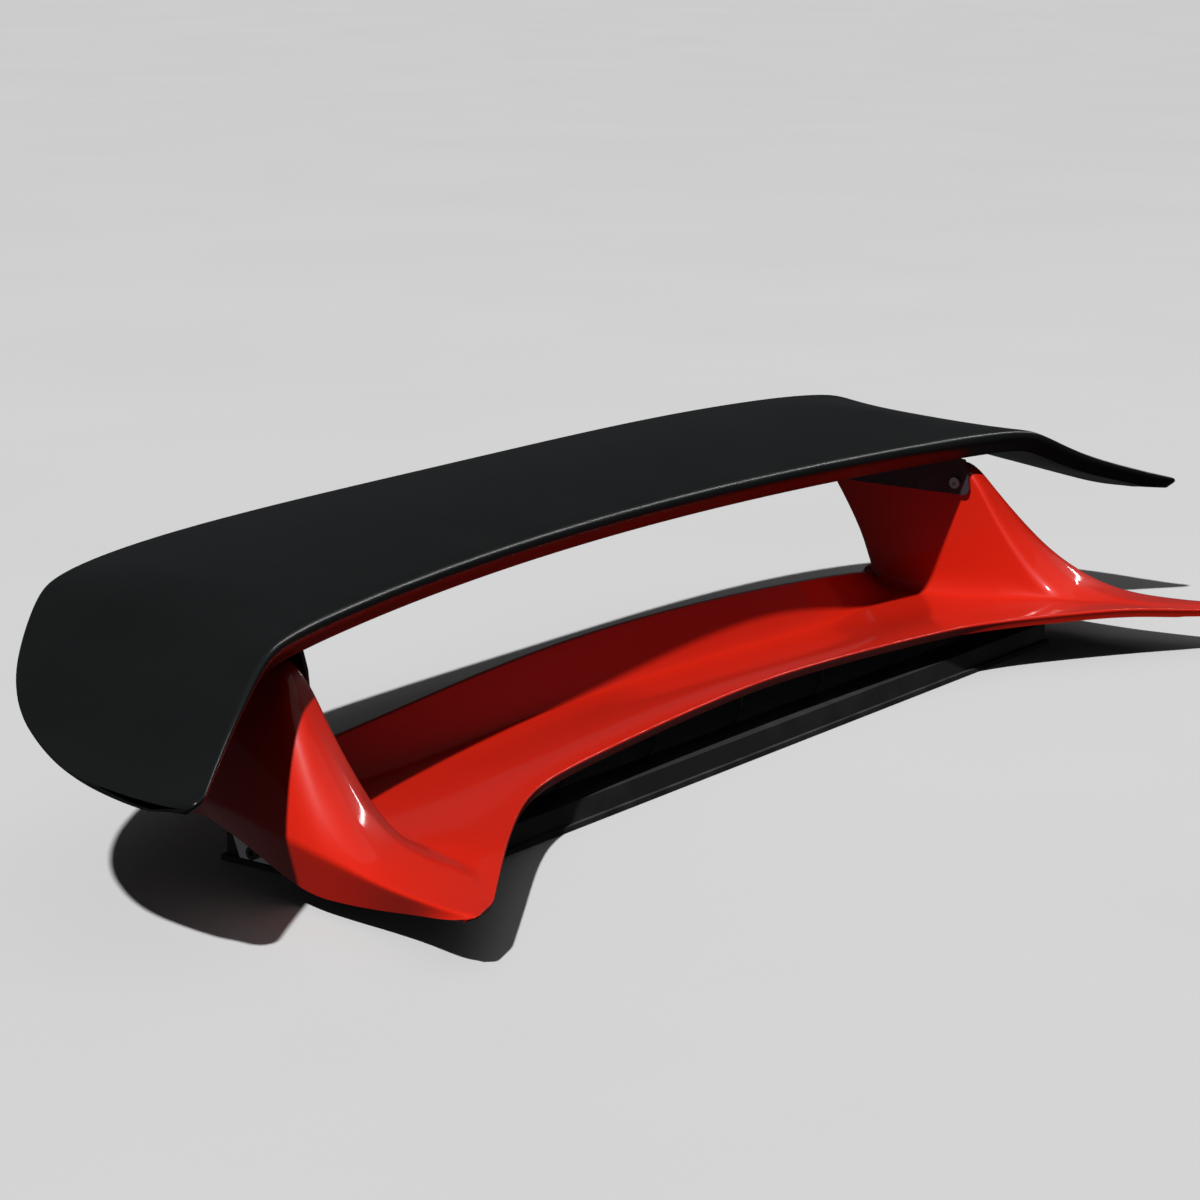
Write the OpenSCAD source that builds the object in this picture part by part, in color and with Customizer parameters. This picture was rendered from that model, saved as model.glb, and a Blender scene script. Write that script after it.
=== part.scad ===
// Rear wing: a one-piece deck lid moulding with two integral stanchions and a
// duck-tail lip, and a bonded two-skin blade that pitches on side brackets.
// X runs across (positive to the left), Y to the rear, Z up; millimetres.
// The origin is on the centreline, on the plane the lid seal rests on.

/* [Blade] */
// Half of the blade's span
half_span = 671; // [640:1:700]
// Leading edge position at the centreline
le_centre_y = 53; // [40:1:65]
// Trailing edge position at the centreline
te_centre_y = 262; // [250:1:275]
// Height of the upper surface at the leading edge
le_top_z = 187; // [180:1:195]
// Height gained from the leading to the trailing edge
blade_rise = 12; // [5:1:20]
// Crown of the upper surface at mid chord
blade_camber = 6; // [2:0.5:10]
// Thickness of the leading edge
le_thick = 22; // [18:1:26]
// Thickness of the trailing edge
te_thick = 7; // [6:0.5:9]
// Where the tips begin to droop
droop_start = 522; // [510:1:540]
// Slope at the root of the drooped tips
droop_slope = 0.65; // [0.5:0.01:0.75]
// Thickness of the blade's skins
blade_skin = 2.5; // [2:0.1:3]

/* [Deck lid] */
// Front edge position at the centreline
seam_y = -67; // [-80:1:-55]
// Front edge height at the centreline
seam_z = 61; // [55:1:68]
// Lip position
lip_y = 95; // [88:1:100]
// Lip height at the centreline
lip_z = 77; // [72:1:80]
// Thickness of the moulding
lid_skin = 3; // [2.5:0.1:3.5]
// Height of the rear face's lower edge
rear_bottom_z = 41; // [38:1:44]

/* [Pitch brackets] */
// Pivot position behind the origin
pivot_y = 22; // [20:0.5:26]
// Pivot height
pivot_z = 141; // [139:0.5:142]
// Distance of the clamp bolt behind the pivot
clamp_dy = 117; // [110:1:118]
// Height of the clamp bolt above the pivot
clamp_dz = 13; // [12:0.5:14]
// Steepest pitch that the slots allow, in degrees
pitch_up = 6; // [4:1:6]
// Lowest pitch that the slots allow, in degrees
pitch_down = 2; // [1:1:2]
// Bracket plate thickness
bracket_t = 3; // [2.5:0.5:4]

/* [Inner frame] */
// Half the length of the inner frame
frame_half = 459; // [455:0.5:459]
// Front of the inner frame
frame_front = -70; // [-72:1:-66]
// Rear of the inner frame
frame_rear = 84; // [80:1:86]
// Width of the frame's rails
rail_w = 30; // [28:1:32]
// Height of the top of the rails
rail_top = 20; // [18:0.5:20]

/* [Hidden] */

function clamp01(q) = max(0, min(1, q));
function ease(q) = let (c = clamp01(q)) c * c * (3 - 2 * c);
function soft_ramp(z, w) = (z + sqrt(z * z + w * w)) / 2;
function mix(a, b, f) = a + (b - a) * f;

// quadratic spline through the neighbourhood of a list of control points, t from 0 to 1
function ctrl(p, i) = i < 0 ? 2 * p[0] - p[1]
    : i > len(p) - 1 ? 2 * p[len(p) - 1] - p[len(p) - 2] : p[i];
function spline(p, t) = let (q = 0.5 + t * (len(p) - 1), i = min(floor(q), len(p) - 1), f = q - i)
    ctrl(p, i - 1) * (1 - f) * (1 - f) / 2 + ctrl(p, i) * (0.5 + f - f * f) + ctrl(p, i + 1) * f * f / 2;

// ---- deck lid ----
function seam_edge_y(x) = seam_y - 0.68 * soft_ramp(x - 315, 56);
function seam_edge_z(x) = seam_z - 12 * ease(x / 350) - 10 * ease((x - 430) / 120);
function lip_edge_y(x) = let (q = pow(x / 400, 2)) lip_y - 54 * q + 54.5 * q * q;
function lip_edge_z(x) = let (q = pow(x / 400, 2)) lip_z - 8.6 * q - 13.5 * q * q;
function valley_z(x) = 34 - 2 * pow(x / 440, 2);
valley_w = 0.88;
function deck(x, w) = [x, mix(seam_edge_y(x), lip_edge_y(x), w),
    w < valley_w ? mix(seam_edge_z(x), valley_z(x), ease(w / valley_w))
                 : mix(valley_z(x), lip_edge_z(x), pow((w - valley_w) / (1 - valley_w), 1.5))];
foot_x = 452;
deck_w = [0, 0.14, 0.27, 0.39, 0.51, 0.61, 0.70, 0.79, 0.85, 0.89, 0.93, 0.97, 1];
inner_edge = [[490, seam_edge_y(490), seam_edge_z(490)], [474, -150, 45], [464, -110, 44], [458, -68, 52],
    [456, -24, 102], [456, 10, 156], [456, 32, 160], [456, 105, 167], [456, 176, 173], [456, 180, 162],
    [456, 133, 94], [457, 118, 54], [458, 115, 49]];
outer_edge = [[515, seam_edge_y(515), seam_edge_z(515)], [488, -162, 46], [484, -114, 48], [478, -76, 59],
    [473, -28, 102], [473, 10, 155], [475, 32, 159], [481, 105, 166], [479, 176, 172], [479, 180, 160],
    [480, 133, 94], [481, 119, 55], [482, 116, 50]];
crease = [[543, -216, 40.5], [547, -200, 41], [541, -165, 40], [534, -125, 41], [529, -88, 45], [525,
    -50, 50],
    [521, -20, 54], [514, 25, 60], [507, 68, 62], [505, 82, 61], [502, 100, 57], [500, 114, 52], [499,
        119, 50]];
lower_edge = [[547, -209, 38], [547, -192, 34], [533, -155, 26], [524, -118, 19], [519, -82, 15], [514,
    -48, 13],
    [509, -15, 20], [501, 25, 32], [494, 62, 41], [493, 75, 43], [493, 93, 43], [495, 108, 42], [496,
        113, 42]];

// a corner of the section rounded between the points a, b and c by the radius r
function toward(a, b, d) = a + (b - a) * min(0.45, d / max(0.01, norm(b - a)));
function bend(a, b, c, r, f) = let (p = toward(b, a, r), q = toward(b, c, r))
    p * (1 - f) * (1 - f) + b * 2 * f * (1 - f) + q * f * f;

fillet = 26;
deck_n = 10;
function half_section(t) = let (w = spline(deck_w, t), a = deck(foot_x - fillet, w), b = deck(foot_x, w),
        p = spline(inner_edge, t), q = spline(outer_edge, t), k = spline(crease, t),
            e = spline(lower_edge, t))
    concat([for (i = [0:deck_n]) deck((foot_x - fillet) * i / deck_n, w)],
        [for (f = [0.25:0.25:1]) bend(a, b, p, fillet, f)],
        [mix(b, p, 0.55)],
        [for (f = [0:0.33:0.99]) bend(b, p, q, 7, f)],
        [for (f = [0:0.33:0.99]) bend(p, q, k, 7, f)],
        [mix(q, k, 0.35), mix(q, k, 0.6), mix(q, k, 0.8)],
        [for (f = [0:0.5:1]) bend(q, k, e, 4, f)],
        [e]);
rows = 34;
// columns over which the flanges fade out towards the lower edge, at the front and at the rear
toe_cols = 10;
edge_cols = 4;
body_rows = [for (j = [0:rows]) half_section(j / rows)];
function drop(r, dy, dz) = let (n = len(r))
    [for (i = [0:n - 1]) let (g = max(0.1, clamp01((n - 1 - i) / toe_cols))) r[i] + [0, dy, dz] * g];
function rear(r, dy, f) = let (n = len(r))
    [for (i = [0:n - 1]) let (g = max(0.1, clamp01((n - 1 - i) / edge_cols)))
        [r[i][0], r[i][1] + dy * g, mix(r[i][2], rear_bottom_z - 1 + g, f)]];
last = body_rows[rows];
half_rows = concat([drop(body_rows[0], 1.5, -8), drop(body_rows[0], -1, -2)], body_rows,
    [rear(last, 5, -0.02), rear(last, 8, 0.12), rear(last, 7, 0.4), rear(last, 1, 1)]);

function whole(r) = concat([for (i = [len(r) - 1:-1:1]) [-r[i][0], r[i][1], r[i][2]]], r);
function unit(v) = v / max(1e-6, norm(v));
// a closed shell of the thickness th under a grid of points
module shell(g, th) {
    nr = len(g); nc = len(g[0]);
    inner = [for (j = [0:nr - 1]) [for (i = [0:nc - 1])
        let (du = g[j][min(nc - 1, i + 1)] - g[j][max(0, i - 1)],
             dv = g[min(nr - 1, j + 1)][i] - g[max(0, j - 1)][i])
        g[j][i] - unit(cross(du, dv)) * th]];
    pts = concat([for (r = g) each r], [for (r = inner) each r]);
    m = nr * nc;
    quads = [for (j = [0:nr - 2]) for (i = [0:nc - 2]) let (a = j * nc + i) [a, a + 1, a + nc + 1, a + nc]];
    faces = concat([for (q = quads) for (s = [[0, 2, 1], [0, 3, 2]]) [q[s[0]], q[s[1]], q[s[2]]]],
        [for (q = quads) for (s = [[0, 1, 2], [0, 2, 3]]) [q[s[0]] + m, q[s[1]] + m, q[s[2]] + m]],
        [for (i = [0:nc - 2]) each [[i, i + 1, i + 1 + m], [i, i + 1 + m, i + m]]],
        [for (i = [0:nc - 2]) let (b = (nr - 1) * nc + i) each [[b + 1, b, b + m], [b + 1, b + m,
            b + 1 + m]]],
        [for (j = [0:nr - 2]) let (a = j * nc) each [[a + nc, a, a + m], [a + nc, a + m, a + nc + m]]],
        [for (j = [0:nr - 2]) let (a = j * nc + nc - 1) each [[a, a + nc, a + nc + m], [a, a + nc + m,
            a + m]]]);
    polyhedron(pts, faces);
}
module deck_skin() { color("red") difference() {
    shell([for (r = half_rows) whole(r)], lid_skin);
    both() at_pivot(wall_x - 8, 16, shaft_r + 0.6);
    both() at_clamp(wall_x - 8, 16, shaft_r + 0.6);
} }

// ---- blade ----
function tip_corner(x) = let (d = max(0, abs(x) - half_span + 14)) 14 - sqrt(max(0, 196 - d * d));
function le_y(x) = let (a = abs(x)) le_centre_y - 0.00026 * a * a - 0.3 * soft_ramp(a - 565,
    60) + tip_corner(a);
function te_y(x) = -7 + (te_centre_y + 7) * pow(max(0, 1 - pow(abs(x) / half_span, 3.8)), 0.55);
function droop(x) = droop_slope * soft_ramp(abs(x) - droop_start, 20)
    - (droop_slope - 0.3) * soft_ramp(abs(x) - droop_start - 53, 40);
function edge_round(x) = let (d = max(0, abs(x) - half_span + 9) / 9) sqrt(max(0.02, 1 - d * d));
function thin(x) = (1 - 0.35 * ease((abs(x) - 480) / 187));
// 0 up to 26 mm from the tip, 1 at the tip, where the rise and the hollow fade out
function tip_fade(x) = pow(clamp01((abs(x) - half_span + 26) / 26), 2);
function camber(x) = blade_camber * (1 - 2.3 * ease((abs(x) - 440) / 110)) + 4.3 * tip_fade(x);
function curl(x, c) = 6 * ease((abs(x) - 590) / 90) * clamp01(2.5 * c);
function top_z(x,
    c) = le_top_z + blade_rise * (1 - 0.65 * tip_fade(x)) * c + camber(x) * 4 * c * (1 - c) - droop(x) - curl(x, c);
function thickness(x, c) = le_thick - (le_thick - te_thick) * c + max(0, camber(x)) * 4 * c * (1 - c);
// the outer 31 mm of the tips sweep up to a thin rim
function rim_lift(x, c) = 1 - 0.52 * ease((abs(x) - half_span + 31) / 31) * (1 - c) * min(1, 0.4 + 2.5 * c);
function low_z(x, c) = top_z(x, c) - thickness(x, c) * thin(x) * rim_lift(x, c);
function mid_z(x, c) = mix(top_z(x, c), low_z(x, c), 0.6);
function up(x, c) = mix(mid_z(x, c), top_z(x, c), edge_round(x));
function lo(x, c) = mix(mid_z(x, c), low_z(x, c), edge_round(x));
nose = [[9.5, 0], [8, 0.12], [1.2, 0.55], [0, 0.70], [1.6, 0.86], [5.5, 0.96]];
top_n = 9;
rim = 16;
cavity_x = 636;
function ring(x, open) = let (a = le_y(x), b = te_y(x), ch = b - a)
    concat([for (p = nose) [x, a + p[0] * min(1, ch / 120), mix(lo(x, 0), up(x, 0), p[1])]],
        [for (i = [0:top_n]) let (c = mix(12 / ch * min(1, ch / 120), 1, i / top_n)) [x, a + ch * c,
            up(x, c)]],
        [[x, b + 1, mix(up(x, 1), lo(x, 1), 0.5)], [x, b, lo(x, 1)]],
        [for (i = [top_n:-1:0]) let (m = rim / ch, c = mix(m, 1 - m, i / top_n))
            each (i == top_n ? [[x, a + ch * c, lo(x, c)], [x, a + ch * c, open ? up(x,
                c) - blade_skin : lo(x, c) + .1]]
                : i == 0 ? [[x, a + ch * c, open ? up(x, c) - blade_skin : lo(x, c) + .1], [x,
                    a + ch * c, lo(x, c)]]
                : [[x, a + ch * c, open ? up(x, c) - blade_skin : lo(x, c) + .1]])]);
spans = [0, 70, 140, 210, 280, 345, 405, 450, 490, 525, 555, 580, 602, 620, cavity_x];
tips = [cavity_x + 0.2, 645, 652, 658, 662, 665, half_span];
module loft(rings) {
    n = len(rings[0]); k = len(rings);
    polyhedron([for (r = rings) each r], concat(
        [for (j = [0:k - 2]) for (i = [0:n - 1]) let (a = j * n + i, b = j * n + (i + 1) % n)
            each [[a, b, b + n], [a, b + n, a + n]]],
        [[for (i = [n - 1:-1:0]) i]], [[for (i = [0:n - 1]) (k - 1) * n + i]]));
}
module blade_upper_skin() { color("#202224")
    loft(concat([for (i = [len(tips) - 1:-1:0]) ring(-tips[i], false)],
        [for (i = [len(spans) - 1:-1:1]) ring(-spans[i], true)],
        [for (s = spans) ring(s, true)], [for (s = tips) ring(s, false)])); }

// the lower skin: a panel let into the rim of the upper one
panel_n = 8;
panel_gap = 0.4;
panel_x = [0, 70, 140, 210, 280, 345, 405, 450, 490, 525, 555, 580, 602, 620, cavity_x - panel_gap];
function panel_row(x, up) = let (a = le_y(x), ch = te_y(x) - a, m = (rim + panel_gap) / ch)
    [for (i = [0:panel_n]) let (c = mix(m, 1 - m, i / panel_n)) [x, a + ch * c, lo(x,
        c) + (up ? panel_t : 0)]];
panel_t = 2;
function panel_ring(x) = let (b = panel_row(x, false), t = panel_row(x, true), n = len(b))
    concat([for (i = [n - 1:-1:0]) b[i]], t);
module blade_lower_skin() { color("#303236") difference() {
    loft(concat([for (i = [len(panel_x) - 1:-1:1]) panel_ring(-panel_x[i])],
        [for (x = panel_x) panel_ring(x)]));
    both() along_underside() for (y = screw_y) translate([screw_x, y, -2]) cylinder(r = 3.6, h = 8, $fn = 32);
} }
module blade_spar() { color("dimgray") difference() {
    translate([-421, 80, 180]) cube([842, 30, 8]);
    translate([-422, 82, 182]) cube([844, 26, 4]);
} }
module rear_stiffener() { color("dimgray") translate([-300, 190, 190.5]) cube([600, 15, 5]); }

// ---- brackets ----
wall_x = 455;
plate_out = 453.3;
plate_in = plate_out - bracket_t;
flange_in = 415;
screw_x = 431;
screw_y = [40, 88, 136];
flange_y0 = 28;
plate_y1 = 158;
flange_len = 122;
gasket_t = 1.5;
flange_t = 4;
bush_r = 5;
shaft_r = 3;
spacer_r = 7.5;
under_gap = 0.3;
// the underside is flat from the leading to the trailing edge where the brackets bolt to it
under_x = 415;
rake = atan((blade_rise + le_thick - te_thick) / (te_y(under_x) - le_y(under_x)));
module both() { children(); mirror([1, 0, 0]) children(); }
module along_x(x, y, z, len, r) { translate([x, y, z]) rotate([0, 90, 0]) cylinder(r = r, h = len,
    $fn = 48); }
module at_pivot(x, len, r) { along_x(x, pivot_y, pivot_z, len, r); }
module at_clamp(x, len, r) { along_x(x, pivot_y + clamp_dy, pivot_z + clamp_dz, len, r); }
// local frame with Y along the blade's underside and Z square to it
module along_underside() { translate([0, le_y(under_x), le_top_z - le_thick]) rotate([rake, 0,
    0]) children(); }
function under(y) = le_top_z - le_thick + tan(rake) * (y - le_y(under_x));
slot_r = norm([clamp_dy, clamp_dz]);
slot_a = atan2(clamp_dz, clamp_dy);
slot_w = 3.08;
module slot_cut() { translate([plate_in - 1, pivot_y, pivot_z]) rotate([0, 90, 0]) {
    for (a = [pitch_down + 0.4, -pitch_up - 0.4]) rotate([0, 0, slot_a + a + 90])
        translate([slot_r, 0, 0]) cylinder(r = slot_w, h = bracket_t + 2, $fn = 48);
    rotate([0, 0, slot_a - pitch_up - 0.4 + 90]) rotate_extrude(angle = pitch_up + pitch_down + 0.8,
        $fn = 360)
        translate([slot_r - slot_w, 0]) square([2 * slot_w, bracket_t + 2]);
} }
bracket_y = [8.5, 10, 14];
bracket_low = 130;
module bracket() {
    corner = 6;
    difference() {
        union() {
            translate([plate_in, 0, 0]) rotate([90, 0, 90]) linear_extrude(bracket_t) polygon(concat(
                [for (a = [180:15:270]) [bracket_y[0] + corner * (1 + cos(a)),
                    bracket_low + corner * (1 + sin(a))]],
                [for (a = [270:15:345]) [plate_y1 + corner * (cos(a) - 1),
                    bracket_low + corner * (1 + sin(a))]],
                [[plate_y1, under(plate_y1) - 3], [bracket_y[2], under(bracket_y[2]) - 3], [bracket_y[1],
                    150]]));
            along_underside() translate([flange_in, flange_y0, -under_gap - gasket_t - flange_t])
                cube([plate_out - flange_in, flange_len, flange_t]);
        }
        at_pivot(plate_in - 1, bracket_t + 2, bush_r);
        slot_cut();
        along_underside() for (y = screw_y) translate([screw_x, y, -9]) cylinder(r = 3.3, h = 8, $fn = 32);
    }
}
module bracket_left() { color("#1c1820") bracket(); }
module bracket_right() { color("#1c1820") mirror([1, 0, 0]) bracket(); }
module bracket_gaskets() { color("black") both() along_underside() difference() {
    translate([flange_in, flange_y0 + 2, -under_gap - gasket_t]) cube([36, flange_len - 4, gasket_t - 0.1]);
    for (y = screw_y) translate([screw_x, y, -5]) cylinder(r = 3.6, h = 6, $fn = 32);
} }
module mount_rib() { along_underside() difference() {
    translate([screw_x - 8.5, 30, 3.2]) cube([17, 116, 8]);
    for (y = screw_y) translate([screw_x, y, 2]) cylinder(r = 3.05, h = 7.6, $fn = 32);
} }
module mount_rib_left() { color("silver") mount_rib(); }
module mount_rib_right() { color("silver") mirror([1, 0, 0]) mount_rib(); }
module bracket_screws() { color("#2a2a2c") both() along_underside() for (y = screw_y) translate([screw_x,
    y, 0]) {
    translate([0, 0, -under_gap - gasket_t - flange_t - 3.3]) difference() {
        cylinder(r = 5.2, h = 3.3, $fn = 48);
        translate([0, 0, -1]) cylinder(r = 2.3, h = 2.6, $fn = 6);
    }
    translate([0, 0, -8]) cylinder(r = 3, h = 16.5, $fn = 32);
} }
module pivot_bushes() { color("goldenrod") both() difference() {
    at_pivot(plate_in, bracket_t, bush_r);
    at_pivot(plate_in - 1, bracket_t + 2, shaft_r + 0.05);
} }

// ---- fixed bolts ----
core_x = 459.6;
core_t = 5.5;
module button_bolt(head_r, head_h, shank_r, reach) {
    difference() {
        translate([0, 0, -head_h]) cylinder(r = head_r, h = head_h, $fn = 48);
        translate([0, 0, -head_h - 1]) cylinder(r = head_r * 0.42, h = head_h * 0.6 + 1, $fn = 6);
    }
    translate([0, 0, -0.5]) cylinder(r = shank_r, h = reach + 0.5, $fn = 48);
}
module pivot_bolts() { color("#3a3a3e") both() translate([plate_in - 0.2, pivot_y, pivot_z]) rotate([0,
    90, 0])
    button_bolt(5.2, 3.3, shaft_r, core_x + core_t - plate_in + 0.7); }
module pivot_spacers() { color("#55565a") both() difference() {
    at_pivot(plate_out + 0.15, 1.4, spacer_r);
    at_pivot(plate_out - 1, 4, shaft_r + 0.3);
} }
module clamp_bolts() { color("#3a3a3e") both()
    translate([plate_in - 1.8, pivot_y + clamp_dy, pivot_z + clamp_dz]) rotate([0, 90, 0])
    button_bolt(5.2, 3.3, shaft_r, core_x + core_t - plate_in + 2.3); }
module clamp_washers() { color("silver") both() difference() {
    at_clamp(plate_in - 1.7, 1.5, spacer_r);
    at_clamp(plate_in - 3, 4, shaft_r + 0.2);
} }
module clamp_spacers() { color("#55565a") both() difference() {
    at_clamp(plate_out + 0.15, 1.4, spacer_r);
    at_clamp(plate_out - 1, 4, shaft_r + 0.3);
} }
module stanchion_plate() { difference() {
    translate([core_x, 0, 0]) rotate([90, 0, 90]) linear_extrude(core_t) polygon([[0, 6], [66, 6], [84, 50],
        [112, 92], [156, 150], [152, 160], [18, 151], [8, 128], [-10, 88], [-30, 56], [-12, 36]]);
    at_pivot(core_x - 1, core_t + 2, shaft_r + 0.05);
    at_clamp(core_x - 1, core_t + 2, shaft_r + 0.05);
    for (y = foot_bolt_y) along_x(core_x - 1, y, foot_bolt_z, core_t + 2, shaft_r + 0.2);
} }
module stanchion_plate_left() { color("silver") stanchion_plate(); }
module stanchion_plate_right() { color("silver") mirror([1, 0, 0]) stanchion_plate(); }

// ---- inner frame ----
rail_bottom = 4;
rail_wall = 2.5;
foot_bolt_y = [16, 52];
foot_bolt_z = 12.5;
rib_x = [0, 118, 236, 354];
side_w = 24;
module rail(x, y, lx, ly) { difference() {
    translate([x, y, rail_bottom]) cube([lx, ly, rail_top - rail_bottom]);
    translate([x + rail_wall, y + rail_wall, rail_bottom - 1])
        cube([lx - 2 * rail_wall, ly - 2 * rail_wall, rail_top - rail_bottom - rail_wall + 1]);
} }
// a rib between the rails, its top following the skin above it
module rib(x) { a = abs(x); front = frame_front + rail_w - 0.5; rear = frame_rear - rail_w + 0.5;
    translate([x - 1.5, 0, 0]) rotate([90, 0, 90]) linear_extrude(3) polygon(concat(
        [[deck(a, 0.84)[1], rail_top - 1], [rear, rail_top - 1], [rear, 8], [front, 12], [front,
            rail_top - 1],
            [deck(a, 0.12)[1], 36]],
        [for (w = [0.12:0.09:0.84]) let (p = deck(a, w)) [p[1], p[2] - lid_skin - 1.8]])); }
module inner_frame() { color("#8a8c90") difference() {
    union() {
        rail(-frame_half, frame_front, 2 * frame_half, rail_w);
        rail(-frame_half, frame_rear - rail_w, 2 * frame_half, rail_w);
        for (x = [-frame_half, frame_half - side_w])
            translate([x, frame_front + rail_w - 1, rail_bottom])
                cube([side_w, frame_rear - frame_front - 2 * rail_w + 2, rail_top - rail_bottom]);
        for (x = rib_x, m = x == 0 ? [1] : [-1, 1]) rib(m * x);
    }
    both() for (y = foot_bolt_y) along_x(frame_half - 16, y, foot_bolt_z, 20, 3.05);
} }
module foot_bolts() { color("#3a3a3e") both() for (y = foot_bolt_y)
    translate([core_x + core_t, y, foot_bolt_z]) rotate([0, -90, 0]) button_bolt(5.2, 3.3, 3, 18); }
module lid_seal() { color("#141414") difference() {
    translate([-frame_half - 4, frame_front - 3, 0])
        cube([2 * frame_half + 8, frame_rear - frame_front + 6, rail_bottom]);
    translate([-frame_half + 5, frame_front + 5, -1])
        cube([2 * frame_half - 10, frame_rear - frame_front - 10, rail_bottom + 2]);
} }
buffer_x = 380;
module lid_buffers() { color("#1a1a1a") both() for (y = [frame_front + rail_w / 2, frame_rear - rail_w / 2])
    translate([buffer_x, y, 0.5]) cylinder(r = 10, h = rail_top - rail_wall - 0.5, $fn = 48); }
hinge_x = 240;
hinge_pitch = 44;
module hinge_blocks() { color("silver") both() difference() {
    translate([hinge_x - 36, frame_front + rail_wall + 0.1, 6]) cube([72, rail_w - 2 * rail_wall - 0.2,
        11.5]);
    for (m = [-1, 1]) translate([hinge_x + m * hinge_pitch / 2, frame_front + rail_w / 2, 5])
        cylinder(r = 4, h = 11, $fn = 48);
} }
striker_y = frame_rear - rail_w / 2;
striker_t = 3;
striker_top = rail_top - rail_wall;
pin_r = 4;
module latch_striker() { color("silver") difference() {
    union() {
        translate([-30, striker_y - 11, striker_top - striker_t]) cube([60, 22, striker_t]);
        translate([0, striker_y, 4]) cylinder(r = pin_r, h = striker_top - 5, $fn = 48);
        translate([0, striker_y, 1]) cylinder(r1 = pin_r - 2, r2 = pin_r, h = 3, $fn = 48);
    }
    for (x = [-22, 22]) translate([x, striker_y, 10]) cylinder(r = 2.6, h = 9, $fn = 32);
} }
module striker_screws() { color("#3a3a3e") for (x = [-22, 22]) translate([x, striker_y, 0]) {
    translate([0, 0, striker_top - striker_t - 2.6]) cylinder(r = 4.4, h = 2.6, $fn = 32);
    translate([0, 0, striker_top - striker_t - 1]) cylinder(r = 2.5, h = 4, $fn = 32);
} }

deck_skin();
inner_frame();
lid_seal();
lid_buffers();
hinge_blocks();
latch_striker();
striker_screws();
stanchion_plate_left();
stanchion_plate_right();
foot_bolts();
pivot_bolts();
pivot_spacers();
clamp_bolts();
clamp_washers();
clamp_spacers();
blade_upper_skin();
blade_lower_skin();
blade_spar();
rear_stiffener();
mount_rib_left();
mount_rib_right();
bracket_left();
bracket_right();
bracket_gaskets();
bracket_screws();
pivot_bushes();
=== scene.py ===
"""Looks of the rear wing: the lid moulding, the blade and every fitting between them."""

import bpy
import numpy as np
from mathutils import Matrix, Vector


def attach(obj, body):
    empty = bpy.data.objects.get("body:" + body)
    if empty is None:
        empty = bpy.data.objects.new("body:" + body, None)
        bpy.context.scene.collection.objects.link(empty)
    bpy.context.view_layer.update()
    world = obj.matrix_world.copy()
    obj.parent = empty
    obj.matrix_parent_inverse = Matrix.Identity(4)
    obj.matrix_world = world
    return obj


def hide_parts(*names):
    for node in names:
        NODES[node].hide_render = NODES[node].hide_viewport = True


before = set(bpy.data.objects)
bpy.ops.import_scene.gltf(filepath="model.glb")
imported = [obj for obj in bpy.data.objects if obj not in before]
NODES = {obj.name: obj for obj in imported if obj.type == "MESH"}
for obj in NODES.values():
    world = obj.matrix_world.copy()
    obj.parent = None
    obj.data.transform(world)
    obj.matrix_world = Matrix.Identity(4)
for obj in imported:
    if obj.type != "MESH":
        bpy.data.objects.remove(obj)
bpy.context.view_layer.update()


# ---------------------------------------------------------------- camera and light
def place_camera():
    """A long lens from the front right quarter, a little above the blade."""
    lens = bpy.data.cameras.new("quarter_view")
    lens.lens, lens.sensor_width = 96.0, 36.0
    lens.clip_start, lens.clip_end = 0.05, 200.0
    camera = bpy.data.objects.new("quarter_view", lens)
    camera.location = (-2.0577, -1.44904, 0.70360)
    camera.rotation_euler = Vector((0.77926, 0.58413, -0.22704)).to_track_quat("-Z", "Y").to_euler()
    bpy.context.scene.collection.objects.link(camera)
    bpy.context.scene.camera = camera


def add_light(name, kind, towards, place=(0, 0, 0), only_gloss=False, **settings):
    """A light at a place that shines along a direction; one for gloss only is seen in reflections alone."""
    data = bpy.data.lights.new(name, kind)
    for key, value in settings.items():
        setattr(data, key, value)
    light = bpy.data.objects.new(name, data)
    light.location = place
    light.rotation_euler = Vector(towards).to_track_quat("-Z", "Y").to_euler()
    light.visible_diffuse = not only_gloss
    bpy.context.scene.collection.objects.link(light)


def light_studio():
    """One key from high on the right, a weak panel overhead, a strip that draws the edges' highlights, and a
    dim even room."""
    add_light("key", "SUN", (0.587, 0.164, -0.793), energy=5.6, angle=0.03)
    add_light("overhead", "AREA", (0, 0.05, -1), (0, -0.4, 3.4), energy=14, shape="RECTANGLE",
              size=4.5, size_y=3.5)
    add_light("strip", "AREA", (-0.80, 0, -0.60), (3.2, 0, 2.5), only_gloss=True, energy=24,
              shape="RECTANGLE", size=0.12, size_y=1.6)
    room = bpy.data.worlds.new("room")
    room.use_nodes = True
    background = room.node_tree.nodes["Background"]
    background.inputs["Color"].default_value = (0.93, 0.95, 1.0, 1)
    background.inputs["Strength"].default_value = 0.05
    bpy.context.scene.world = room
    bpy.context.scene.view_settings.view_transform = "Standard"


# ---------------------------------------------------------------- finishes
class Wire:
    """A socket that takes part in Python sums: every operator adds one Math node."""

    def __init__(self, finish, socket):
        self.finish, self.socket = finish, socket

    def sum(self, operation, *terms):
        return self.finish.node("ShaderNodeMath", {"operation": operation}, dict(enumerate(terms)))

    def __add__(self, other):
        return self.sum("ADD", self, other)

    def __sub__(self, other):
        return self.sum("SUBTRACT", self, other)

    def __rsub__(self, other):
        return self.sum("SUBTRACT", other, self)

    def __mul__(self, other):
        return self.sum("MULTIPLY", self, other)

    __radd__ = __add__
    __rmul__ = __mul__


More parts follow.
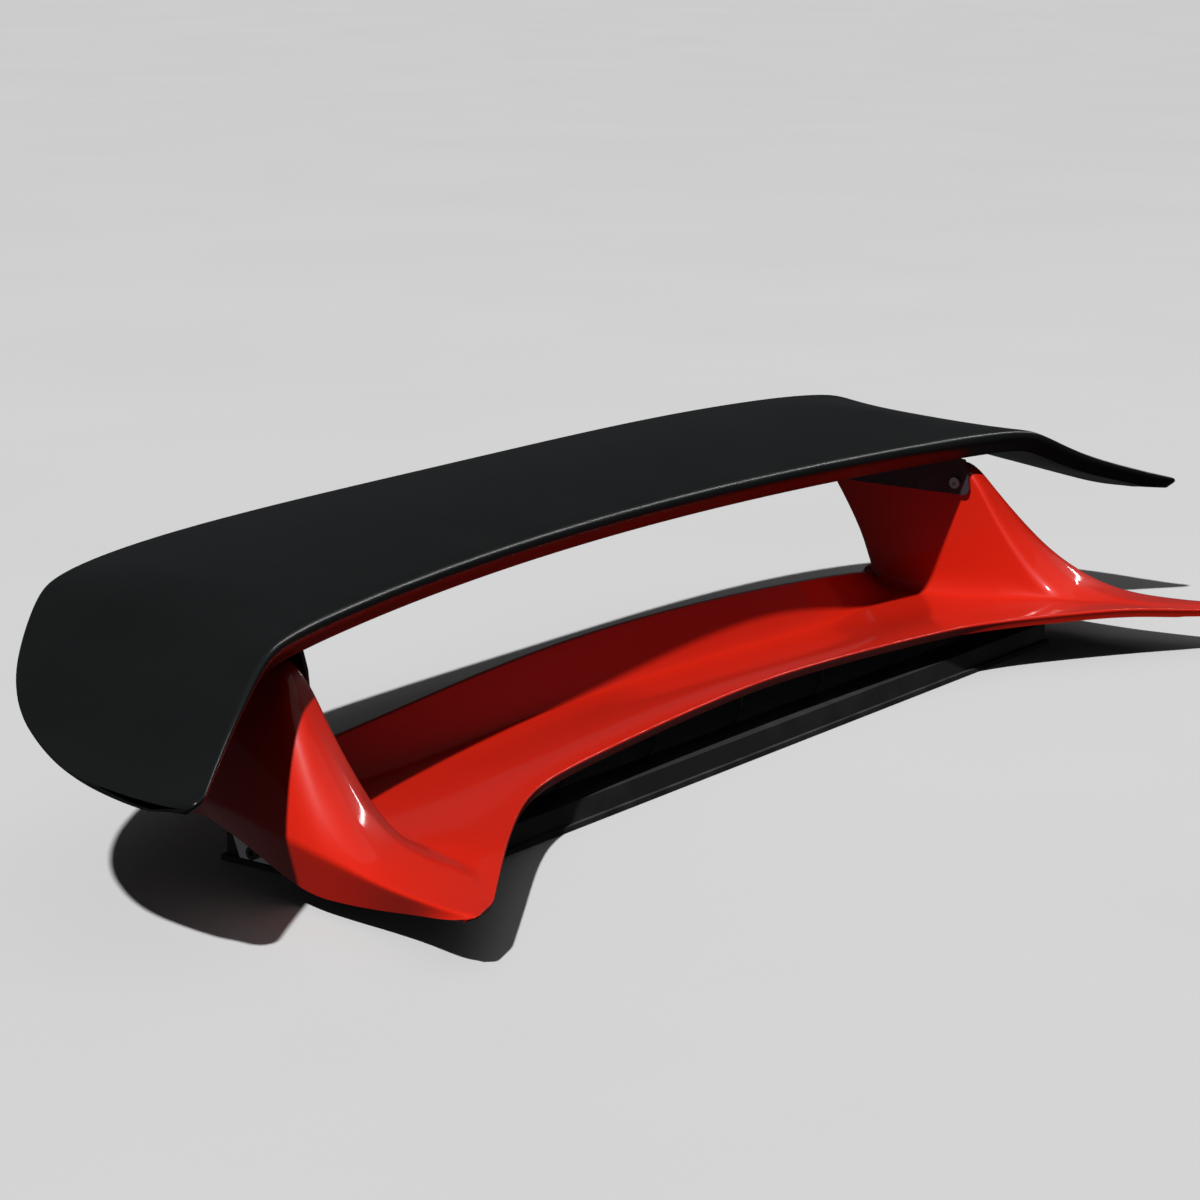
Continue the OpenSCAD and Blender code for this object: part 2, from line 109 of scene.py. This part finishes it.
class Finish:
    """A surface finish, built from nodes on Object coordinates, so that patterns have real sizes."""

    def __init__(self, name):
        self.material = bpy.data.materials.new(name)
        self.material.use_nodes = True
        self.tree = self.material.node_tree
        self.shader = self.tree.nodes["Principled BSDF"]
        self.place = self.node("ShaderNodeTexCoord", output="Object")

    def node(self, kind, settings=None, inputs=None, output=0):
        """One node of a kind: its settings first, then values or links for its inputs."""
        made = self.tree.nodes.new(kind)
        for key, value in (settings or {}).items():
            setattr(made, key, value)
        for key, value in (inputs or {}).items():
            self.feed(made.inputs[key], value)
        return Wire(self, made.outputs[output])

    def feed(self, socket, value):
        """Links a wire to a socket, or sets the socket's own value."""
        if isinstance(value, Wire):
            self.tree.links.new(value.socket, socket)
        elif np.isscalar(value):
            socket.default_value = value
        else:
            socket.default_value = (*value, 1) if len(socket.default_value) == 4 else value

    def stretched(self, scale, turn=(0, 0, 0)):
        """Object coordinates turned, then scaled apart along each axis."""
        return self.node("ShaderNodeMapping", {}, {"Vector": self.place, "Scale": scale, "Rotation": turn})

    def noise(self, size, detail=2.0, rough=0.5, where=None):
        """Soft noise from 0 to 1 whose lumps are about size metres across."""
        return self.node("ShaderNodeTexNoise", {}, {"Vector": where or self.place, "Scale": 1.0 / size,
                                                    "Detail": detail, "Roughness": rough})

    def cells(self, size):
        """Distance to scattered points about size metres apart."""
        return self.node("ShaderNodeTexVoronoi", {}, {"Vector": self.place, "Scale": 1.0 / size}, "Distance")

    def band(self, wire, low, high):
        """0 below low, 1 above high and a straight ramp between them."""
        return self.node("ShaderNodeMapRange", {}, {0: wire, 1: low, 2: high, 3: 0.0, 4: 1.0})

    def blend(self, mask, a, b):
        """Colour a where the mask is 0 and b where it is 1."""
        return self.node("ShaderNodeMix", {"data_type": "RGBA"}, {0: mask, 6: a, 7: b}, 2)

    def bump(self, height, depth):
        """A normal tilted by a height wire, where a height of 1 stands depth metres proud."""
        return self.node("ShaderNodeBump", {}, {"Height": height, "Distance": depth, "Strength": 1.0})

    def done(self, **sockets):
        """Feeds the shader; a name's underscores stand for spaces."""
        for key, value in sockets.items():
            self.feed(self.shader.inputs[key.replace("_", " ")], value)
        return self.material


def lid_paint():
    """Gloss red over a moulding: faint drift in the colour, orange peel under the lacquer, a little dust."""
    f = Finish("lid_paint")
    drift = f.noise(0.16, 3)
    fleck = f.noise(0.0009, 1)
    colour = f.blend(drift, (0.41, 0.0085, 0.0022), (0.45, 0.011, 0.003))
    colour = f.blend(f.band(fleck, 0.60, 0.75) * 0.12, colour, (0.25, 0.002, 0.001))
    dust = f.band(f.noise(0.0013, 4, 0.7), 0.66, 0.74) * f.band(f.noise(0.07, 2), 0.45, 0.65)
    peel = f.noise(0.0045, 1)
    return f.done(Base_Color=colour, Roughness=0.42 + drift * 0.08 + dust * 0.2, Specular_IOR_Level=0.12,
                  Coat_Weight=0.65 - dust * 0.3, Coat_Roughness=0.09, Coat_IOR=1.42,
                  Normal=f.bump(peel, 0.00003))


def moulding_back():
    """The bare back of the moulding: chopped strands under grey resin."""
    f = Finish("moulding_back")
    strands = f.noise(0.02, 4, 0.7, f.stretched((6, 0.6, 1), (0, 0, 0.6)))
    crossing = f.noise(0.02, 4, 0.7, f.stretched((0.6, 6, 1), (0, 0, -0.3)))
    weave = f.node("ShaderNodeMath", {"operation": "MAXIMUM"}, {0: strands, 1: crossing})
    colour = f.blend(f.band(weave, 0.45, 0.7), (0.055, 0.06, 0.062), (0.16, 0.165, 0.165))
    return f.done(Base_Color=colour, Roughness=0.5 + weave * 0.25, Normal=f.bump(weave, 0.0006))


def blade_gloss():
    """Smooth black gel coat, polished by hand: faint peel, haze and dust."""
    f = Finish("blade_gloss")
    haze = f.noise(0.09, 3)
    dust = f.band(f.noise(0.0012, 4, 0.7), 0.67, 0.73) * f.band(haze, 0.4, 0.6)
    colour = f.blend(haze, (0.0034, 0.0039, 0.0040), (0.0056, 0.0062, 0.0063))
    colour = f.blend(dust * 0.35, colour, (0.09, 0.09, 0.088))
    return f.done(Base_Color=colour, Roughness=0.26 + haze * 0.06 + dust * 0.2, Specular_IOR_Level=0.13,
                  Coat_Weight=0.05 - dust * 0.02, Coat_Roughness=0.10,
                  Normal=f.bump(f.noise(0.006, 1), 0.00003))


def alloy(name, light, dark, roughness, grain, metallic=1.0):
    """Machined or anodised alloy: fine cutting lines, rubbed patches and small nicks."""
    f = Finish(name)
    lines = f.noise(0.0012, 2, 0.6, f.stretched(grain))
    rubbed = f.band(f.noise(0.018, 3, 0.65), 0.45, 0.72)
    nicks = f.band(f.noise(0.0022, 3, 0.6), 0.70, 0.76)
    colour = f.blend(lines * 0.6 + rubbed * 0.4, dark, light)
    return f.done(Base_Color=colour, Metallic=metallic,
                  Roughness=roughness + rubbed * 0.10 - lines * 0.06 + nicks * 0.15,
                  Normal=f.bump(lines - nicks * 0.5, 0.00002))


def black_oxide():
    """Oxide-blacked steel, brighter where a key and dust have worn it."""
    f = Finish("black_oxide")
    worn = f.band(f.noise(0.003, 4, 0.7), 0.52, 0.70)
    colour = f.blend(worn * 0.5, (0.050, 0.046, 0.052), (0.34, 0.32, 0.32))
    return f.done(Base_Color=colour, Metallic=0.9, Roughness=0.40 - worn * 0.12,
                  Normal=f.bump(f.noise(0.0005, 3), 0.00002))


def zinc_steel():
    """Zinc-plated steel with its blotchy, faintly blue passivation."""
    f = Finish("zinc_steel")
    blotch = f.band(f.noise(0.006, 3, 0.6), 0.35, 0.65)
    colour = f.blend(blotch, (0.52, 0.54, 0.58), (0.64, 0.63, 0.58))
    return f.done(Base_Color=colour, Metallic=1.0, Roughness=0.26 + blotch * 0.12,
                  Normal=f.bump(f.noise(0.0007, 3), 0.00002))


def bronze():
    """Turned bearing bronze with fine rings and darker oil stains."""
    f = Finish("bronze")
    stain = f.band(f.noise(0.004, 3), 0.4, 0.7)
    rings = f.noise(0.0004, 1, 0.5, f.stretched((6, 1, 1)))
    colour = f.blend(stain, (0.66, 0.43, 0.17), (0.36, 0.21, 0.08))
    return f.done(Base_Color=colour, Metallic=1.0, Roughness=0.3 + stain * 0.15,
                  Normal=f.bump(rings, 0.00001))


def rubber():
    """Moulded rubber: a matte, slightly bloomed skin with fine pores."""
    f = Finish("rubber")
    bloom = f.band(f.noise(0.03, 4, 0.6), 0.4, 0.7)
    pores = f.cells(0.0011)
    colour = f.blend(bloom, (0.012, 0.012, 0.012), (0.032, 0.032, 0.033))
    return f.done(Base_Color=colour, Roughness=0.72 + bloom * 0.15, Specular_IOR_Level=0.35,
                  Normal=f.bump(pores, 0.00006))


def powder_coat_and_gap_shade():
    """Black powder coat: a fine pebbled skin with rubbed patches. Its near-black is also painted shade: it
    stands in for the shadow in the gap where the frame shows under the lid's front edge.
    """
    f = Finish("powder_coat_and_gap_shade")
    pebble = f.noise(0.0011, 2)
    rubbed = f.band(f.noise(0.05, 3), 0.5, 0.7)
    # a near-black coat that is also painted shade for the gap under the lid's front edge; the lighter patches
    # are rubbed wear
    colour = f.blend(rubbed, (0.016, 0.016, 0.017), (0.030, 0.030, 0.031))
    return f.done(Base_Color=colour, Roughness=0.55 - rubbed * 0.12, Normal=f.bump(pebble, 0.00008))


def nylon():
    """Black moulded nylon with a fine spark-eroded texture."""
    f = Finish("nylon")
    texture = f.noise(0.0006, 3, 0.6)
    colour = f.blend(f.noise(0.01), (0.018, 0.018, 0.019), (0.034, 0.034, 0.036))
    return f.done(Base_Color=colour, Roughness=0.5 + texture * 0.12, Normal=f.bump(texture, 0.00004))


def cured_laminate():
    """Bare woven laminate: two crossing tows under clear resin."""
    f = Finish("cured_laminate")
    along, across = (f.node("ShaderNodeTexWave", {"bands_direction": way},
                            {"Vector": f.place, "Scale": 80.0, "Distortion": 0.6}) for way in ("X", "Y"))
    weave = along * 0.5 + across * 0.5
    colour = f.blend(f.band(weave, 0.3, 0.8), (0.012, 0.012, 0.013), (0.06, 0.06, 0.062))
    return f.done(Base_Color=colour, Roughness=0.3 + weave * 0.2, Normal=f.bump(weave, 0.00008))


def studio_floor():
    """Pale plain floor paper with a faint drift in its tone."""
    f = Finish("studio_floor")
    return f.done(Base_Color=f.blend(f.noise(0.5, 3), (0.41, 0.41, 0.41), (0.44, 0.44, 0.44)), Roughness=0.9)


# ---------------------------------------------------------------- sheets, rings and splines
def ease(q):
    """3q^2 - 2q^3 with q held between 0 and 1."""
    q = np.clip(q, 0, 1)
    return q * q * (3 - 2 * q)


def soft_ramp(z, width):
    """A ramp that is 0 below zero and z above it, with a corner width wide: (z + sqrt(z^2 + width^2)) / 2."""
    return (z + np.sqrt(z * z + width * width)) / 2


def mix(a, b, f):
    """a at 0, b at 1."""
    return a + (b - a) * f


def spline(points, t):
    """A quadratic B-spline with ends reflected, for t from 0 at the first point to 1 at the last."""
    p = np.asarray(points, float)
    p = np.concatenate([2 * p[:1] - p[1:2], p, 2 * p[-1:] - p[-2:-1]])
    q = 0.5 + np.asarray(t, float) * (len(points) - 1)
    i = np.minimum(np.floor(q).astype(int), len(points) - 1)
    f = (q - i)[..., None] if p.ndim > 1 else q - i
    return p[i] * (1 - f) ** 2 / 2 + p[i + 1] * (0.5 + f - f * f) + p[i + 2] * f * f / 2


def grid_faces(rows, cols, start=0, flip=False, ring=False):
    """Quads between neighbouring points of a rows by cols grid; a ring joins its last column to its first."""
    j, i = np.meshgrid(np.arange(rows - 1), np.arange(cols if ring else cols - 1), indexing="ij")
    k = (i + 1) % cols
    quads = np.stack([j * cols + i, j * cols + k, (j + 1) * cols + k, (j + 1) * cols + i], -1).reshape(-1, 4)
    return start + (quads[:, ::-1] if flip else quads)


def add_piece(name, points, faces, body, nodes, finishes, which=None, sharp=40):
    """A mesh from points in millimetres, riding on a body and standing for CAD nodes."""
    mesh = bpy.data.meshes.new(name)
    mesh.from_pydata((np.asarray(points).reshape(-1, 3) * 0.001).tolist(), [], np.asarray(faces).tolist())
    mesh.shade_smooth()
    mesh.set_sharp_from_angle(angle=np.radians(sharp))
    for finish in finishes:
        mesh.materials.append(finish)
    if which is not None:
        mesh.polygons.foreach_set("material_index", np.asarray(which, np.int32))
    mesh.validate()
    piece = bpy.data.objects.new(name, mesh)
    bpy.context.scene.collection.objects.link(piece)
    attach(piece, body)
    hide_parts(*nodes)


# ---------------------------------------------------------------- lid moulding
def seam_y(x):
    """Front edge: level in the middle, then swept forward past 315 mm."""
    return -67 - 0.68 * soft_ramp(x - 315, 56)


def seam_z(x):
    """Height of the front edge, which falls away to the sides."""
    return 61 - 12 * ease(x / 350) - 10 * ease((x - 430) / 120)


def lip_y(x):
    """The lip in plan: a quartic that comes forward halfway out and goes back at the stanchions."""
    q = (x / 400) ** 2
    return 95 - 54 * q + 54.5 * q * q


def lip_z(x):
    """Height of the lip, which falls to the sides with the square and the fourth power of x."""
    q = (x / 400) ** 2
    return 77 - 8.6 * q - 13.5 * q * q


def deck(x, w):
    """Top of the lid: the front edge at w 0, a valley at w 0.88, the top of the lip's steep face at w 1."""
    valley = 34 - 2 * (x / 440) ** 2
    front = mix(seam_z(x), valley, ease(w / VALLEY_W))
    rear = mix(valley, lip_z(x), (np.maximum(0, w - VALLEY_W) / (1 - VALLEY_W)) ** 1.5)
    x, y, z = np.broadcast_arrays(x, mix(seam_y(x), lip_y(x), w), np.where(w < VALLEY_W, front, rear))
    return np.stack([x, y, z], -1)


FOOT_X, FILLET, VALLEY_W, LID_WALL = 452, 26, 0.88, 3.0
DECK_W = [0, 0.14, 0.27, 0.39, 0.51, 0.61, 0.70, 0.79, 0.85, 0.89, 0.93, 0.97, 1]
INNER_EDGE = [[490, seam_y(490.0), seam_z(490.0)], [474, -150, 45], [464, -110, 44], [458, -68, 52],
              [456, -24, 102], [456, 10, 156], [456, 32, 160], [456, 105, 167], [456, 176, 173],
              [456, 180, 162], [456, 133, 94], [457, 118, 54], [458, 115, 49]]
OUTER_EDGE = [[515, seam_y(515.0), seam_z(515.0)], [488, -162, 46], [484, -114, 48], [478, -76, 59],
              [473, -28, 102], [473, 10, 155], [475, 32, 159], [481, 105, 166], [479, 176, 172],
              [479, 180, 160], [480, 133, 94], [481, 119, 55], [482, 116, 50]]
CREASE = [[543, -216, 40.5], [547, -200, 41], [541, -165, 40], [534, -125, 41], [529, -88, 45],
          [525, -50, 50], [521, -20, 54], [514, 25, 60], [507, 68, 62], [505, 82, 61], [502, 100, 57],
          [500, 114, 52], [499, 119, 50]]
LOWER_EDGE = [[547, -209, 38], [547, -192, 34], [533, -155, 26], [524, -118, 19], [519, -82, 15],
              [514, -48, 13], [509, -15, 20], [501, 25, 32], [494, 62, 41], [493, 75, 43], [493, 93, 43],
              [495, 108, 42], [496, 113, 42]]
TOP_ROUND, CREASE_ROUND = 7, 4
# the flange under the front edge, as steps back and down, and the rear face, as steps back and shares of
# the drop to its bottom
FLANGE = [[1.5, -8], [1.0, -5.8], [0.3, -3.8], [-0.4, -2.6], [-0.9, -1.7], [-0.9, -0.9], [-0.4, -0.25]]
REAR_FACE = [[0, 0], [5, -0.02], [8, 0.12], [7, 0.4], [1, 1]]
REAR_BOTTOM_Z = 40
# columns over which the flange and the rear face fade out towards the lower edge
TOE_COLUMNS, EDGE_COLUMNS = 45, 12


def toward(a, b, d):
    """The point d from a on the way to b, at most 0.45 of the way."""
    way = b - a
    return a + way * np.minimum(0.45, d / np.maximum(0.01, np.linalg.norm(way, axis=-1, keepdims=True)))


def bend(a, b, c, r, n):
    """The corner at b between a and c rounded by a parabola that starts r before it and ends r after."""
    p, q, f = toward(b, a, r), toward(b, c, r), np.linspace(0, 1, n)[:, None]
    return p * (1 - f) ** 2 + b * 2 * f * (1 - f) + q * f * f


def run(a, b, n):
    """n points between a and b, neither of them included."""
    return mix(a, b, np.linspace(0, 1, n + 2)[1:-1, None])


def lid_sheet(rows=150):
    """Half of the lid's outer surface as rows from front to rear and columns from the centreline outwards:
    the deck, a fillet, up the stanchion's inner wall, over its top, down its outer wall to a crease and the
    lower edge."""
    t = np.linspace(0, 1, rows)
    w = spline(DECK_W, t)[:, None]
    a, b = deck(FOOT_X - FILLET, w), deck(FOOT_X, w)
    p, q, k, e = (spline(line, t)[:, None, :] for line in (INNER_EDGE, OUTER_EDGE, CREASE, LOWER_EDGE))
    parts = [deck(np.linspace(0, FOOT_X - FILLET, 62)[None, :], w)[:, :-1],
             run(a, toward(b, a, FILLET), 2),
             bend(a, b, p, FILLET, 14),
             run(toward(b, p, FILLET), toward(p, b, TOP_ROUND), 18),
             bend(b, p, q, TOP_ROUND, 9),
             run(toward(p, q, TOP_ROUND), toward(q, p, TOP_ROUND), 2),
             bend(p, q, k, TOP_ROUND, 9),
             run(toward(q, k, TOP_ROUND), toward(k, q, CREASE_ROUND), 18),
             bend(q, k, e, CREASE_ROUND, 7),
             run(toward(k, e, CREASE_ROUND), e, 4),
             e]
    sheet = np.concatenate(parts, 1)
    from_edge = sheet.shape[1] - 1.0 - np.arange(sheet.shape[1])
    near_toe, near_edge = (np.maximum(0.1, np.clip(from_edge / reach, 0, 1))[:, None]
                           for reach in (TOE_COLUMNS, EDGE_COLUMNS))
    front = [sheet[0] + np.array([0, dy, dz]) * near_toe for dy, dz in FLANGE]
    last = sheet[-1]
    rear = [np.stack([last[:, 0], last[:, 1] + dy * near_edge[:, 0],
                      mix(last[:, 2], REAR_BOTTOM_Z + near_edge[:, 0], f)], -1)
            for dy, f in spline(REAR_FACE, np.linspace(0, 1, 18)[1:])]
    return np.concatenate([front, sheet, rear])


def shell_piece(name, sheet, wall, body, nodes, finishes):
    """A sheet given a wall thickness: each inner point lies wall millimetres behind the outer one, along the
    normal that comes from its neighbours, averaged five times with theirs. Four strips close the edges."""
    normal = np.cross(np.gradient(sheet, axis=1), np.gradient(sheet, axis=0))
    normal /= np.maximum(1e-9, np.linalg.norm(normal, axis=-1, keepdims=True))
    for _ in range(5):
        padded = np.pad(normal, ((1, 1), (1, 1), (0, 0)), mode="edge")
        beside = padded[1:-1, :-2] + padded[1:-1, 2:]
        normal = (padded[:-2, 1:-1] + padded[2:, 1:-1] + beside + normal) / 5
        normal /= np.maximum(1e-9, np.linalg.norm(normal, axis=-1, keepdims=True))
    rows, cols = sheet.shape[:2]
    size = rows * cols
    rim = np.concatenate([np.arange(cols), np.arange(1, rows) * cols + cols - 1,
                          (rows - 1) * cols + np.arange(cols - 2, -1, -1), np.arange(rows - 2, 0, -1) * cols])
    after = np.roll(rim, -1)
    strips = np.stack([rim + size, after + size, after, rim], -1)
    faces = np.concatenate([grid_faces(rows, cols), grid_faces(rows, cols, size, flip=True), strips])
    count = (rows - 1) * (cols - 1)
    which = np.concatenate([np.zeros(count), np.ones(count), np.zeros(len(strips))])
    points = np.concatenate([sheet.reshape(-1, 3), (sheet - normal * wall).reshape(-1, 3)])
    add_piece(name, points, faces, body, nodes, finishes, which)


# ---------------------------------------------------------------- blade
HALF_SPAN, CAVITY_X, RIM, SKIN = 671.0, 636.0, 16.0, 2.5
PANEL, PANEL_GAP = 2.0, 0.4
LE_CENTRE_Y, TE_TIP_Y, TE_SWEEP = 53, -7, 269
LE_TOP_Z, RISE, CROWN = 187, 12, 6
LE_THICK, TE_THICK = 22, 7
TIP_CORNER, TIP_FADE, TIP_LIFT = 14, 26, 31
ROUND_EDGE = 6
# where the nose ends and the rounded rear edge starts, from their own edges
NOSE_END, REAR_END = 12, 9


def le_y(x):
    """Leading edge in plan: a shallow parabola that sweeps further forward at the tips, whose corner is an
    arc."""
    a = np.abs(x)
    d = np.maximum(0, a - HALF_SPAN + TIP_CORNER)
    corner = TIP_CORNER - np.sqrt(np.maximum(0, TIP_CORNER ** 2 - d * d))
    return LE_CENTRE_Y - 0.00026 * a * a - 0.3 * soft_ramp(a - 565, 60) + corner


def te_y(x):
    """Trailing edge in plan: it starts at the tip and goes back by 269 mm times (1 - s^3.8)^0.55, where s is
    the fraction of the half span."""
    return TE_TIP_Y + TE_SWEEP * np.maximum(0, 1 - (np.abs(x) / HALF_SPAN) ** 3.8) ** 0.55


def tip_fade(x):
    """0 up to 26 mm from the tip, then a square rise to 1 at the tip."""
    return np.clip((np.abs(x) - HALF_SPAN + TIP_FADE) / TIP_FADE, 0, 1) ** 2


def crown(x):
    """Height of the crown at mid chord, which turns hollow towards the tips and fades at their sides."""
    return CROWN * (1 - 2.3 * ease((np.abs(x) - 440) / 110)) + 4.3 * tip_fade(x)


def top_z(x, c):
    """Upper surface over the chord fraction c: a rise, a crown, and the droop of the tips."""
    a = np.abs(x)
    droop = 0.65 * soft_ramp(a - 522, 20) - 0.35 * soft_ramp(a - 575, 40)
    curl = 6 * ease((a - 590) / 90) * np.clip(2.5 * c, 0, 1)
    rise = RISE * (1 - 0.65 * tip_fade(x)) * c
    return LE_TOP_Z + rise + crown(x) * 4 * c * (1 - c) - droop - curl


def low_z(x, c):
    """Lower surface: 22 mm down at the leading edge, 7 mm at the trailing one, less at the tips, whose outer
    31 mm sweep up to a thin rim."""
    a = np.abs(x)
    thick = mix(LE_THICK, TE_THICK, c) + np.maximum(0, crown(x)) * 4 * c * (1 - c)
    lift = 0.52 * ease((a - HALF_SPAN + TIP_LIFT) / TIP_LIFT) * (1 - c) * np.minimum(1, 0.4 + 2.5 * c)
    return top_z(x, c) - thick * (1 - 0.35 * ease((a - 480) / 187)) * (1 - lift)


def edge_distance(x, y):
    """Distance in plan to the nearer of the trailing edge, measured square to it, and the tip's side."""
    s = np.minimum(np.abs(x) / HALF_SPAN, 0.9999)
    slope = TE_SWEEP * 0.55 * 3.8 * s ** 2.8 / (HALF_SPAN * (1 - s ** 3.8) ** 0.45)
    return np.minimum((te_y(x) - y) / np.sqrt(1 + slope * slope), HALF_SPAN - np.abs(x))


def blade_surface(x, y, level):
    """A point at a level from 0, the lower surface, to 1, the upper one. Within 6 mm of the edge both close
    on the middle as (1 - (1 - d/6)^2.4)^(1/2.4), which rounds the rim."""
    c = np.clip((y - le_y(x)) / (te_y(x) - le_y(x)), 0, 1)
    up, low = top_z(x, c), low_z(x, c)
    middle = mix(up, low, 0.6)
    inward = np.clip(edge_distance(x, y) / ROUND_EDGE, 0, 1)
    close = np.maximum(0.12, (1 - (1 - inward) ** 2.4) ** (1 / 2.4))
    z = middle + (mix(low, up, level) - middle) * close
    return np.stack(np.broadcast_arrays(x, y, z), -1)


# the nose's section, as distance behind the leading edge and level
NOSE = [[12, 0], [9.9, 0], [8.9, 0.03], [7.9, 0.12], [5.0, 0.31], [1.2, 0.56], [-0.1, 0.73], [1.4, 0.90],
        [5.5, 0.985], [12, 1.0]]
FROM_EDGE = np.array([0, 0.08, 0.3, 0.7, 1.3, 2.1, 3.2, 4.6, 6.5])


def blade_rings(x, hollow):
    """Closed sections across the span: nose, upper surface, rounded trailing edge, lower rim, then the
    underside of the upper skin inside the cavity (or a solid underside beyond it) and the front rim."""
    x = x[:, None]
    a, b = le_y(x), te_y(x)
    k = np.minimum(1, (b - a) / 120)
    nose = spline(NOSE, np.linspace(0, 1, 30))
    along = np.linspace(0, 1, 46)[None, 1:]
    inner_y = mix(b - RIM, a + RIM, np.linspace(0, 1, 24)[None])
    over = blade_surface(x, inner_y, np.ones((1, 24)))
    rim_y = a + np.linspace(RIM, NOSE_END, 3)[None] * k
    parts = [blade_surface(x, a + nose[None, :, 0] * k, nose[None, :, 1]),
             blade_surface(x, mix(a + NOSE_END * k, b - REAR_END, along), np.ones_like(along)),
             blade_surface(x, b - FROM_EDGE[None, ::-1], np.ones((1, 9))),
             blade_surface(x, b - FROM_EDGE[None, 1:], np.zeros((1, 8))),
             blade_surface(x, b - np.linspace(REAR_END, RIM, 3)[None], np.zeros((1, 3))),
             over - np.array([0, 0, SKIN]) if hollow else blade_surface(x, inner_y, np.zeros((1, 24))),
             blade_surface(x, rim_y, np.zeros((1, 3)))[:, :-1]]
    return np.concatenate(parts, 1)


def spans(end):
    """Stations from the centreline to end, closer together where the tips start to droop."""
    return np.concatenate([np.arange(0, 470, 12.0), np.arange(470, CAVITY_X - 2, 4.0), [end]])


def loft(rings):
    """Faces of a closed tube through the rings, its two ends closed by strips across each ring."""
    rows, cols = rings.shape[:2]
    half = cols // 2
    i = np.arange(half - 1)
    cap = np.stack([i, i + 1, cols - 2 - i, cols - 1 - i], -1)
    sides = grid_faces(rows, cols, ring=True, flip=True)
    return np.concatenate([sides, cap, cap[:, ::-1] + (rows - 1) * cols])


def blade_upper():
    """The upper skin with its rim, mirrored about the centreline."""
    x = spans(CAVITY_X)
    tip = HALF_SPAN - (HALF_SPAN - CAVITY_X - 0.2) * np.linspace(1, 0, 34) ** 2
    right = np.concatenate([blade_rings(x, True), blade_rings(tip, False)])
    left = right[:0:-1] * np.array([-1, 1, 1])
    rings = np.concatenate([left, right])
    add_piece("blade_upper", rings, loft(rings), "blade", ["blade_upper_skin"], [BLADE_GLOSS], sharp=50)


def blade_under():
    """The lower skin: a panel 2 mm thick let into the rim, its edge eased by half a millimetre."""
    right = spans(CAVITY_X - PANEL_GAP)
    x = np.concatenate([-right[:0:-1], right])[:, None]
    a, b = le_y(x) + RIM + PANEL_GAP, te_y(x) - RIM - PANEL_GAP
    s = np.concatenate([[0, 0.003], np.linspace(0.01, 0.99, 34), [0.997, 1]])[None]
    y = mix(a, b, s)
    low = blade_surface(x, y, np.zeros_like(s))
    low[:, [0, -1], 2] += 0.5
    high = blade_surface(x, y[:, ::-1], np.zeros_like(s)) + np.array([0, 0, PANEL])
    rings = np.concatenate([low, high], 1)
    add_piece("blade_under", rings, loft(rings)[:, ::-1], "blade", ["blade_lower_skin"], [BLADE_GLOSS])


# ---------------------------------------------------------------- assembly
place_camera()
light_studio()

BLADE_GLOSS = blade_gloss()
MACHINED = alloy("machined_alloy", (0.78, 0.78, 0.79), (0.60, 0.60, 0.62), 0.32, (1, 12, 12))
MILLED = alloy("mill_alloy", (0.60, 0.60, 0.62), (0.46, 0.46, 0.48), 0.38, (0.2, 6, 6))
ANODISED = alloy("black_anodised", (0.075, 0.062, 0.080), (0.040, 0.033, 0.043), 0.42, (1, 9, 1),
                 metallic=0.6)
FINISHES = [
    # the inner frame's black is partly painted shade: the dark of the gap under the lid's front edge
    (powder_coat_and_gap_shade(), ["inner_frame"]),
    (rubber(), ["lid_seal", "lid_buffers", "bracket_gaskets"]),
    (MACHINED, ["hinge_blocks", "stanchion_plate_left", "stanchion_plate_right", "mount_rib_left",
                "mount_rib_right"]),
    (zinc_steel(), ["latch_striker", "clamp_washers", "pivot_bolts"]),
    (black_oxide(), ["striker_screws", "foot_bolts", "clamp_bolts", "bracket_screws"]),
    (nylon(), ["pivot_spacers", "clamp_spacers"]),
    (bronze(), ["pivot_bushes"]),
    (cured_laminate(), ["rear_stiffener"]),
    (MILLED, ["blade_spar"]),
    (ANODISED, ["bracket_left", "bracket_right"]),
]
for finish, nodes in FINISHES:
    for node in nodes:
        for held in NODES[node].material_slots:
            held.material = finish

half = lid_sheet()
lid = np.concatenate([half[:, :0:-1] * np.array([-1, 1, 1]), half], 1)
shell_piece("lid_moulding", lid, LID_WALL, "lid", ["deck_skin"], [lid_paint(), moulding_back()])
blade_upper()
blade_under()

bpy.ops.mesh.primitive_plane_add(size=120, location=(0, 0, -0.0005))
ground = bpy.context.object
ground.name = "floor"
ground.visible_diffuse = False
ground.visible_glossy = False
ground.data.materials.append(studio_floor())
